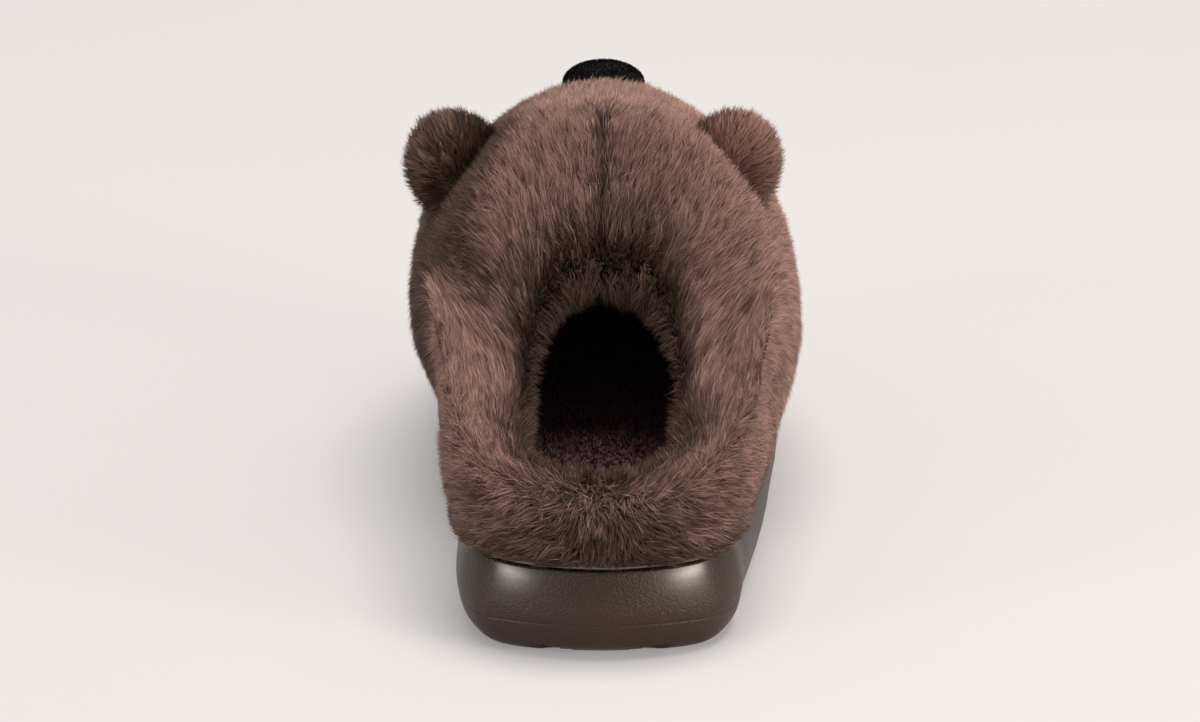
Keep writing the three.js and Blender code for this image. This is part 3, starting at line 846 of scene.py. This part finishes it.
def growOn(u, w, lean, length, rise, lowest):
    # root, middle and tip of strands that start at (u, w) and lie that way
    around, up = peltAt("around", u, w), peltAt("up", u, w)
    count = pelt["grid"].shape[1]
    forward = np.where((u % count) < count / 2, 1.0, -1.0)
    stepW = -length * np.cos(lean) / np.linalg.norm(up, axis=1)
    stepU = forward * length * np.sin(lean) / np.maximum(np.linalg.norm(around, axis=1), 0.25)
    stepU = np.clip(stepU, -12, 12)
    depth = pileDepthAt(peltAt("knot", u, w))
    root = peltAt("grid", u, w) - peltAt("normal", u, w) * depth[:, None]
    u1, w1 = u + 0.4 * stepU, np.maximum(w + 0.4 * stepW, lowest)
    u2, w2 = u + stepU, np.maximum(w + stepW, lowest)
    middle = peltAt("grid", u1, w1) - peltAt("normal", u1, w1) * (0.38 * depth - 0.4 * rise)[:, None]
    tip = peltAt("grid", u2, w2) + peltAt("normal", u2, w2) * rise[:, None]
    tip[:, 2] -= 1.5 * bell(w2 / 7) * soften((length / np.mean(length) - 0.9) / 0.4)
    return root, middle, tip


def mapOf(shade, across, up):
    # places on the colour map for the corners of each strand
    u = np.clip(shade, 0.01, 0.99)[:, None] + np.array(across)
    return np.stack([u, np.broadcast_to(up, u.shape)], -1).reshape(-1, 2)


def spikesOf(root, tip, out, width, shade, draw):
    # one long triangle for each strand of the undercoat
    side = unit(np.cross(tip - root, out + draw.normal(0, 0.6, out.shape)))
    points = np.stack([root - side * width / 2, root + side * width / 2, tip], 1).reshape(-1, 3)
    uv = mapOf(shade, [-mapHalf, mapHalf, 0.0], [mapRoot, mapRoot, mapTip])
    return points, np.arange(len(points)).reshape(-1, 3), uv


def ribbonsOf(root, middle, tip, out, widths, shade, draw, keep=slice(None)):
    # one ribbon of three triangles for each strand that is kept, with its place on the colour map
    root, middle, tip, out, shade = (part[keep] for part in (root, middle, tip, out, shade))
    way = unit(tip - root)
    side = unit(np.cross(way, out))
    roll = draw.uniform(-1.0, 1.0, len(root))[:, None]
    side = unit(side * np.cos(roll) + np.cross(way, side) * np.sin(roll))
    atRoot, atMiddle = side * widths[0] / 2, side * widths[1] / 2
    points = np.stack([root - atRoot, root + atRoot, middle - atMiddle, middle + atMiddle, tip], 1)
    base = np.arange(len(root))[:, None, None] * 5
    faces = (base + np.array([[0, 1, 3], [0, 3, 2], [2, 3, 4]])[None]).reshape(-1, 3)
    uv = mapOf(
        shade, [-mapHalf, mapHalf, -mapHalf, mapHalf, 0.0], [mapRoot, mapRoot, mapMiddle, mapMiddle, mapTip]
    )
    return points.reshape(-1, 3), faces, uv


def treeOf(places):
    tree = KDTree(len(places))
    for index, place in enumerate(places):
        tree.insert(place, index)
    tree.balance()
    return tree


def nearestIn(tree, places):
    return np.array([tree.find(place)[1] for place in places])


def clumpedTips(root, tip, leaders, leaderTips, pull, draw):
    # tips of the strands drawn towards the tip of the nearest lock
    nearest = nearestIn(treeOf(leaders), root)
    share = (pull * draw.uniform(0.5, 1.4, len(root)))[:, None]
    return nearest, tip + (leaderTips[nearest] - tip) * share


def insideOval(points, oval, grown):
    local = (points - oval["middle"]) @ oval["turn"]
    return np.sum((local / (oval["halves"] + grown)) ** 2, axis=1) < 1


def partingOf(place, width):
    # near 1 on the line that parts the crown down its middle, and 0 away from it
    return bell(place[:, 0] / width) * soften((place[:, 2] - 84) / 8) * soften((0.6 - alongShoe(place)) / 0.1)


def growFur(u, w, swerve, length, rise, draw):
    place, knot, fromLip = (peltAt(field, u, w) for field in ("grid", "knot", "fromLip"))
    flow = flowOf(u, w, draw.normal(0, furPiece["partingStray"], len(u)))
    lowest = furPiece["hemRows"] * draw.uniform(0.0, 1.0, len(u)) ** 0.6
    standing = 1 - np.abs(flow)
    rolled = soften((0.55 - alongShoe(place)) / 0.1) * bell((knot - 5.6) / 1.3)
    unruly = (0.7 * standing + 0.9 * rolled) * draw.normal(0, 1, len(u))
    lean = lieOf(u, w) * np.sign(flow) + swerve + unruly
    edge = 2.0 * bell(fromLip / 6.0) + 2.4 * bell(fromLip / 9.0) * bell((place[:, 2] - 64) / 18)
    highest = furPiece["maxRise"] * (1 - partingOf(place, 3.0))
    rise = np.minimum(rise, highest) + standing + 1.1 * rolled + edge
    reach = length * (1 + 0.35 * soften((8 - fromLip) / 10))
    return growOn(u, w, lean, reach * flow, rise, lowest)


def shadeOf(place, out, knot, fromLip):
    # how light the pile is, with painted shade towards the opening, along the parting, on the collar, low on
    # the heel, on the far side of the head, at the hem and at the top of the rim, before the chance tint of
    # each lock and strand
    s = furShades
    share, height = alongShoe(place), place[:, 2]
    high = soften((height - 62) / 20)
    heel = soften((0.18 - share) / 0.1)
    intoMouth = soften((20 + 12 * high - fromLip) / (17 + 15 * high)) * (1 - 0.5 * heel)
    low = soften((58 - height) / 18) * soften((0.3 - share) / 0.15)
    shade = s["open"] - s["mouth"] * intoMouth - s["parting"] * partingOf(place, 1.1)
    shade -= s["collar"] * soften((0.4 - share) / 0.12)
    shade -= (s["lowHeel"] + s["lowMiddle"] * bell(place[:, 0] / 19)) * low
    shade -= s["farSide"] * soften((-out[:, 0] - 0.25) / 0.4) * soften((share - 0.33) / 0.09)
    shade -= (s["hem"] + s["highHem"] * high) * soften((2.5 - knot) / 0.7)
    return shade - s["rim"] * high * soften((10 - fromLip) / 7)


def addUpperFur(material, nose):
    s = furPiece
    draw = np.random.RandomState(s["seed"])
    frontal = soften((alongShoe(pelt["grid"][:-1]) - 0.55) / 0.2)
    weight = np.where(pelt["knot"][:-1] < s["lastKnot"], 1.0 - 0.3 * frontal, 0.0)
    total = s["strands"] + s["underStrands"]
    u, w, area = scatterOn(total, weight, draw)
    clumpU, clumpW, _ = scatterOn(s["clumps"], weight, draw)
    print(f"fur grows on {area / 100:.0f} square centimetres, {total / area:.2f} strands a square millimetre")
    place, leaders = peltAt("grid", u, w), peltAt("grid", clumpU, clumpW)
    clumpRise = draw.normal(0.1, 0.6, s["clumps"]) + 0.5 * ripples(leaders, 13.0, 9)
    clumpLength = s["length"] * draw.uniform(0.8, 1.2, s["clumps"])
    clumpSwerve = draw.normal(0, 0.3, s["clumps"])
    _, _, clumpTip = growFur(clumpU, clumpW, clumpSwerve, clumpLength, clumpRise, draw)
    length = s["length"] * draw.uniform(0.7, 1.15, total)
    stray = np.where(draw.uniform(size=total) < 0.25, draw.uniform(0.3, 2.6, total), 0)
    rise = draw.normal(-0.1, 0.8, total) + stray
    root, middle, tip = growFur(u, w, draw.normal(0, 0.25, total), length, rise, draw)
    nearest, tip = clumpedTips(place, tip, leaders, clumpTip, s["pull"], draw)
    tint = draw.normal(0, s["clumpTint"], s["clumps"])[nearest] + draw.normal(0, s["strandTint"], total)
    out, knot = peltAt("normal", u, w), peltAt("knot", u, w)
    shade = shadeOf(place, out, knot, peltAt("fromLip", u, w)) + tint
    free = ~np.any([insideOval(part, nose, s["noseGap"]) for part in (root, middle, tip)], axis=0)
    under = np.arange(total) >= s["strands"]
    collar = alongShoe(place) < s["collarEnd"]
    crown = (knot > s["crownKnot"]) & ~collar
    outer = place[:, 0] > 0
    for region, inRegion in (("collar", collar), ("crown", crown), ("cheek", ~collar & ~crown)):
        for side, onSide in (("outer", outer), ("inner", ~outer)):
            name = f"{region}_fur_{side}"
            pick = free & inRegion & onSide
            points, faces, uv = ribbonsOf(root, middle, tip, out, s["widths"], shade, draw, pick & ~under)
            pick = pick & under
            spikes, spikeFaces, spikeUv = spikesOf(
                root[pick], tip[pick], out[pick], s["underWidth"], shade[pick] + s["underShade"], draw
            )
            faces = np.concatenate([faces, spikeFaces + len(points)])
            points, uv = np.concatenate([points, spikes]), np.concatenate([uv, spikeUv])
            addPiece(name, "upper", "fur", [material], points, faces, uv)
            print(f"{name}: {len(faces)} faces")


# ears
earPiece = {
    "width": 33.5, "height": 41.0, "depth": 17.0, "splay": 0.45, "turn": 0.2, "pileDepth": 4.2,
    "strands": 12000, "clumps": 700, "length": 4.6, "widths": (0.38, 0.3), "pull": 0.4,
    # the outer ear's tone is painted light and the inner ear's tone is painted shade
    "rise": 0.8, "outerLitTone": 0.95, "innerShadedTone": 0.5, "clumpTint": 0.1, "strandTint": 0.07,
    "deepestRoot": -5.0,  # from the head's fur, and deeper strands are left out
    "seed": 21,
}
# a lighter copy of the long fur, with less dark roots: painted light on the ears
earLook = dict(furLook, light=(0.5, 0.3, 0.235, 1), middle=(0.09, 0.052, 0.04, 1), rootDark=0.75)


def turnAbout(axis, angle):
    c, s = math.cos(angle), math.sin(angle)
    turns = {
        "x": [[1, 0, 0], [0, c, -s], [0, s, c]],
        "y": [[c, 0, s], [0, 1, 0], [-s, 0, c]],
        "z": [[c, -s, 0], [s, c, 0], [0, 0, 1]],
    }
    return np.array(turns[axis])


def ballPoints(across, up):
    # rows from the top of a ball to its bottom, and the faces between them
    polar = np.linspace(0.03, math.pi - 0.03, up)
    azimuth = np.arange(across) / across * 2 * math.pi
    p, a = np.meshgrid(polar, azimuth, indexing="ij")
    points = np.stack([np.sin(p) * np.cos(a), np.sin(p) * np.sin(a), np.cos(p)], -1).reshape(-1, 3)
    last = (up - 1) * across
    caps = [[0, k, k + 1] for k in range(1, across - 1)]
    caps += [[last, last + k + 1, last + k] for k in range(1, across - 1)]
    return points, np.concatenate([gridFaces(up, across)[:, ::-1], np.array(caps)])


def ovalOf(s, turn):
    # half sizes of an oval piece, and how far it reaches along each axis once it is turned
    halves = np.array([s["width"], s["depth"], s["height"]]) / 2
    return halves, np.sqrt(np.sum((turn * halves) ** 2, axis=1))


def nodeBox(node):
    low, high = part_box(node)
    return np.array(low) * 1000 - frameShift, np.array(high) * 1000 - frameShift


def earFrame(side, node):
    # the ear's middle and turn, from its node's outermost points
    s = earPiece
    turn = turnAbout("z", -side * s["turn"]) @ turnAbout("y", side * s["splay"])
    halves, reach = ovalOf(s, turn)
    low, high = nodeBox(node)
    x = high[0] - reach[0] if side > 0 else low[0] + reach[0]
    return {"middle": np.array([x, low[1] + reach[1], high[2] - reach[2]]), "turn": turn, "halves": halves}


def shapeEar(ball, halves, shrink):
    # an oval with a hollowed face
    p = ball * halves
    centre = 1 - np.hypot(p[:, 0] / halves[0], p[:, 2] / halves[2])
    p[:, 1] = np.where(p[:, 1] > 0, p[:, 1] * (1 - 0.75 * soften(1.4 * centre)), p[:, 1])
    return p * (halves - shrink) / halves


headPoints = pelt["grid"][::3, ::2].reshape(-1, 3)
headNormals = pelt["normal"][::3, ::2].reshape(-1, 3)
headTree = treeOf(headPoints)


def aboveHead(points):
    # height of points over the surface of the head's fur
    nearest = nearestIn(headTree, points)
    return np.sum((points - headPoints[nearest]) * headNormals[nearest], axis=1)


def makeEar(name, side, node, skin, fur, tone):
    s = earPiece
    ear = earFrame(side, node)
    halves, place = ear["halves"], ear["turn"].T
    ball, faces = ballPoints(48, 34)
    points = shapeEar(ball, halves, s["pileDepth"]) @ place + ear["middle"]
    addPiece(name + "_skin", node, "ear_fur", [skin], points, faces)
    draw = np.random.RandomState(s["seed"] + int(side))

    def grow(directions, length, rise, jitter):
        base, surface = shapeEar(directions, halves, s["pileDepth"]), shapeEar(directions, halves, 0.0)
        out = unit(directions / halves)
        stem = np.array([0.0, 0.0, -0.75 * s["height"] / 2])
        along = unit(surface - stem + jitter)
        along = unit(along - out * np.sum(along * out, axis=1, keepdims=True))
        tip = surface + along * length[:, None] + out * rise[:, None]
        beyond = np.linalg.norm(tip / halves, axis=1)
        limit = draw.uniform(0.93, 1.24, len(tip))
        tip = tip / np.maximum(1.0, beyond / limit)[:, None]
        return base, 0.58 * base + 0.42 * tip + out * 0.7, tip, out

    def drawOn(count):
        directions = unit(draw.normal(size=(count * 2, 3)))
        stretch = np.linalg.norm(directions / halves, axis=1)
        return directions[draw.uniform(0, stretch.max(), count * 2) < stretch][:count]

    heads = drawOn(s["clumps"])
    headLength, headRise = np.full(len(heads), s["length"]), draw.normal(s["rise"], 0.7, len(heads))
    _, _, headTips, _ = grow(heads, headLength, headRise, draw.normal(0, 6.0, (len(heads), 3)))
    directions = drawOn(s["strands"])
    count = len(directions)
    length = s["length"] * draw.uniform(0.5, 1.3, count)
    rise = draw.normal(s["rise"], 1.0, count)
    root, middle, tip, out = grow(directions, length, rise, draw.normal(0, 5.0, (count, 3)))
    surface, headSurface = shapeEar(directions, halves, 0), shapeEar(heads, halves, 0)
    nearest, tip = clumpedTips(surface, tip, headSurface, headTips, s["pull"], draw)
    root, middle, tip = (p @ place + ear["middle"] for p in (root, middle, tip))
    tint = draw.normal(0, s["clumpTint"], len(heads))[nearest] + draw.normal(0, s["strandTint"], count)
    # painted shade low on the ear's side towards the head, where the head shades it, and painted light
    # towards its top
    shaded = soften(0.35 - 0.9 * side * directions[:, 0] - 0.5 * directions[:, 2])
    shade = tone + 0.14 * directions[:, 2] - 0.3 * shaded + tint
    keep = aboveHead(root) > s["deepestRoot"]
    strands = ribbonsOf(root, middle, tip, out @ place, s["widths"], shade, draw, keep)
    addPiece(name + "_fur", node, "ear_fur", [fur], *strands)
    print(f"{name}: {len(strands[1])} faces")


# nose
nosePiece = {
    "width": 28.5, "height": 16.5, "depth": 24.0, "tilt": -0.5, "place": 0.838,
    "strands": 14000, "length": 0.9, "widths": (0.3, 0.24), "padInset": 0.9, "rootInset": 1.0,
    "shade": 0.5, "shadeSpread": 0.2, "deepestRoot": -4.0, "seed": 31,
}
noseLook = {
    "deep": (0.001, 0.001, 0.0012, 1), "middle": (0.0025, 0.0025, 0.0032, 1),
    "light": (0.008, 0.0082, 0.0105, 1), "warm": (0.003, 0.003, 0.0045, 1), "rootDark": 0.7,
    "rootReach": 0.9, "roughness": 0.7, "gloss": 0.05, "sheen": 0.03, "sheenTint": (0.45, 0.5, 0.65, 1),
}
noseSkinLook = {
    "dark": (0.0015, 0.0015, 0.002, 1), "light": (0.005, 0.005, 0.0065, 1),
    "size": 2600.0, "sheen": 0.1, "bump": 0.6,
}


def noseFrame():
    s = nosePiece
    turn = turnAbout("x", s["tilt"])
    halves, reach = ovalOf(s, turn)
    low, high = nodeBox("nose")
    middle = np.array([(low[0] + high[0]) / 2, s["place"] * soleLength, high[2] - reach[2]])
    return {"middle": middle, "turn": turn, "halves": halves}


def makeNose(skin, flock):
    s = nosePiece
    nose = noseFrame()
    halves, place = nose["halves"], nose["turn"].T
    ball, faces = ballPoints(64, 40)
    points = (ball * (halves - s["padInset"])) @ place + nose["middle"]
    addPiece("nose_pad", "nose", "nose_flock", [skin], points, faces)
    draw = np.random.RandomState(s["seed"])
    directions = unit(draw.normal(size=(s["strands"], 3)))
    out = unit(directions / halves)
    root = directions * (halves - s["rootInset"])
    way = unit(out + draw.normal(0, 0.35, out.shape))
    tip = root + way * (s["length"] * draw.uniform(0.6, 1.1, len(out)))[:, None]
    root, middle, tip = (p @ place + nose["middle"] for p in (root, (root + tip) / 2, tip))
    shade = draw.normal(s["shade"], s["shadeSpread"], len(root))
    facing = unit(draw.normal(size=out.shape))
    keep = aboveHead(root) > s["deepestRoot"]
    strands = ribbonsOf(root, middle, tip, facing, s["widths"], shade, draw, keep)
    addPiece("nose_flocking", "nose", "nose_flock", [flock], *strands)
    return nose


furMaterial = makePileMaterial("longFur", furLook)
earMaterial = makePileMaterial("earFur", earLook)
earSkin = makeClothMaterial("earBacking", skinLook)
makeEar("ear_outer", 1.0, "ear_lateral", earSkin, earMaterial, earPiece["outerLitTone"])
makeEar("ear_inner", -1.0, "ear_medial", earSkin, earMaterial, earPiece["innerShadedTone"])
nose = makeNose(makeClothMaterial("noseBacking", noseSkinLook), makePileMaterial("noseFlock", noseLook))
print("ears and nose made")
addUpperFur(furMaterial, nose)
print("fur made")

# footbed
footbedPiece = {
    "stations": 160, "crossings": 24, "underCrossings": 4, "thickness": 8.0, "hollow": 1.4,
    "strands": 26000, "length": 2.6, "widths": (0.5, 0.42), "shade": 0.6, "shadeSpread": 0.05,
    "bareEdge": 2.5, "seed": 41,
}
footbedLook = {
    "dark": (0.07, 0.034, 0.037, 1), "light": (0.13, 0.064, 0.07, 1),
    "size": 900.0, "sheen": 0.04, "bump": 0.8,
}
footbedPileLook = {
    "deep": (0.04, 0.018, 0.02, 1), "middle": (0.14, 0.064, 0.07, 1), "light": (0.26, 0.128, 0.14, 1),
    "warm": (0.16, 0.07, 0.075, 1), "rootDark": 0.15, "rootReach": 0.8, "roughness": 0.9, "gloss": 0.02,
    "sheen": 0.04, "sheenTint": (0.8, 0.55, 0.58, 1),
}


def makeFootbed(cloth, pile):
    s = footbedPiece
    count = s["stations"]
    inset = wellInset + shoe["clearance"]

    def heightAt(y, drop, hollowed):
        # drop is how far under the top, and hollowed is the share of the hollow for the heel
        hollow = s["hollow"] * soften((0.4 - y / soleLength) / 0.3)
        base = ledgeHeight(y) - solePiece["wellDepth"] + shoe["clearance"]
        return base + s["thickness"] - drop - hollowed * hollow

    profile = [(1.0, s["thickness"], 0), (0.3, 2.0, 0), (0.6, 0.9, 0), (1.3, 0.25, 0), (2.4, 0, 0),
               (6.0, 0, 0.5), (12.0, 0, 1)]
    rings = [
        ringOf(count, inset + step, lambda y, drop=drop, hollowed=hollowed: heightAt(y, drop, hollowed))
        for step, drop, hollowed in profile
    ]
    side = np.concatenate(rings)
    under, over = crossedFloor(rings[0], s["underCrossings"]), crossedFloor(rings[-1], s["crossings"])
    over[:, 2] += 0.25 * ripples(over, 31.0, 12)
    points = np.concatenate([side, under, over])
    faces = np.concatenate([
        gridFaces(len(rings), count),
        crossedFaces(count, s["underCrossings"], len(side), 0, False),
        crossedFaces(count, s["crossings"], len(side) + len(under), (len(rings) - 1) * count, True),
    ])
    addPiece("footbed_cloth", "footbed", "footbed_plush", [cloth], points, faces)
    draw = np.random.RandomState(s["seed"])
    spots = draw.uniform(side.min(0)[:2], side.max(0)[:2], (s["strands"] * 2, 2))
    line, away = outlineOf(400)
    nearest = np.argmin(((spots[:, None, :] - line[None, ::4]) ** 2).sum(2), axis=1) * 4
    depth = -np.sum((spots - line[nearest]) * away[nearest], axis=1)
    inWell = np.flatnonzero(depth > inset + s["bareEdge"])[:s["strands"]]
    spots, depth, count = spots[inWell], depth[inWell], len(inWell)
    root = np.column_stack([spots, heightAt(spots[:, 1], 0.2, soften((depth - inset - 2) / 10))])
    way = np.column_stack([draw.normal(0, 0.5, count), draw.normal(-0.5, 0.5, count), np.full(count, 0.75)])
    tip = root + unit(way) * (s["length"] * draw.uniform(0.6, 1.1, count))[:, None]
    middle = (root + tip) / 2 + np.array([0, 0, 0.25])
    out = np.tile([0.0, 0.0, 1.0], (count, 1))
    shade = draw.normal(s["shade"], s["shadeSpread"], count)
    strands = ribbonsOf(root, middle, tip, out, s["widths"], shade, draw)
    addPiece("footbed_pile", "footbed", "footbed_plush", [pile], *strands)


makeFootbed(makeClothMaterial("footbedCloth", footbedLook), makePileMaterial("footbedPile", footbedPileLook))
print("footbed made")

# floor, light and camera
stagePiece = {
    "floorSize": 14.0,
    "floorDark": (0.495, 0.47, 0.46, 1),
    "floorLight": (0.505, 0.48, 0.47, 1),
    "floorGlow": (0.98, 0.96, 0.95, 1),
    "floorGlowStrength": 0.24,
    "worldColor": (1.0, 0.97, 0.955, 1),
    "worldStrength": 0.31,
    "lampAim": (0.0, 0.0, 0.06),
}
lamps = [  # name, place in metres from the shoe's middle, width, height, power, colour
    ("keyLamp", (2.3, -1.35, 0.74), 0.8, 0.45, 31.0, (1.0, 0.96, 0.92)),
    ("fillLamp", (-2.25, -1.4, 0.7), 0.6, 0.4, 12.0, (1.0, 0.975, 0.96)),
    ("topLamp", (0.25, 0.0, 2.5), 1.6, 1.6, 60.0, (1.0, 0.985, 0.965)),
    ("rightGlint", (2.15, -1.5, 0.74), 1.1, 0.4, 100.0, (1.0, 0.91, 0.82)),
    ("leftGlint", (-2.15, -1.5, 0.7), 1.0, 0.4, 62.0, (1.0, 0.93, 0.86)),
]
photoView = {"elevation": 20.0, "azimuth": 0.3, "distance": 1.47, "target": (0.0, 0.0, 97.0), "lens": 150.0}


def aimAt(thing, target):
    thing.rotation_mode = "QUATERNION"
    thing.rotation_quaternion = (Vector(target) - thing.location).to_track_quat("-Z", "Y")


def makeStage():
    s = stagePiece
    half = s["floorSize"] / 2
    mesh = bpy.data.meshes.new("floor")
    corners = [(-half, -half, 0), (half, -half, 0), (half, half, 0), (-half, half, 0)]
    mesh.from_pydata(corners, [], [(0, 1, 2, 3)])
    floor = bpy.data.objects.new("floor", mesh)
    bpy.context.scene.collection.objects.link(floor)
    material, tree, shader = newMaterial(
        "paleFloor", Roughness=0.75, Specular_IOR_Level=0.1, Emission_Color=s["floorGlow"],
        Emission_Strength=s["floorGlowStrength"],
    )
    cloud = placeGroup(tree, wearAndGlintMarks, Size=3.0, Amount=0.0)["Cloud"]
    setSockets(tree, shader, {"Base Color": mixOf(tree, cloud, s["floorDark"], s["floorLight"])})
    mesh.materials.append(material)
    world = bpy.data.worlds.new("studio")
    bpy.context.scene.world = world
    world.use_nodes = True
    sky = world.node_tree.nodes["Background"]
    setSockets(world.node_tree, sky, {"Color": s["worldColor"], "Strength": s["worldStrength"]})
    for name, place, width, height, power, color in lamps:
        light = bpy.data.lights.new(name, "AREA")
        light.shape = "RECTANGLE"
        light.size = width
        light.size_y = height
        light.energy = power
        light.color = color
        lamp = bpy.data.objects.new(name, light)
        lamp.location = place
        lamp.visible_diffuse = "Glint" not in name  # the glints show only in gloss
        aimAt(lamp, s["lampAim"])
        bpy.context.scene.collection.objects.link(lamp)


def makeCamera():
    v = photoView
    azimuth, elevation = math.radians(v["azimuth"]), math.radians(v["elevation"])
    target = Vector(toFrame(np.array(v["target"])))
    across, back = math.sin(azimuth) * math.cos(elevation), -math.cos(azimuth) * math.cos(elevation)
    data = bpy.data.cameras.new("photoCamera")
    data.lens = v["lens"]
    data.sensor_width = 36.0
    camera = bpy.data.objects.new("photoCamera", data)
    camera.location = target + Vector((across, back, math.sin(elevation))) * v["distance"]
    aimAt(camera, target)
    bpy.context.scene.collection.objects.link(camera)
    bpy.context.scene.camera = camera


makeStage()
makeCamera()
bpy.context.scene.view_settings.view_transform = "Standard"
print("stage made")
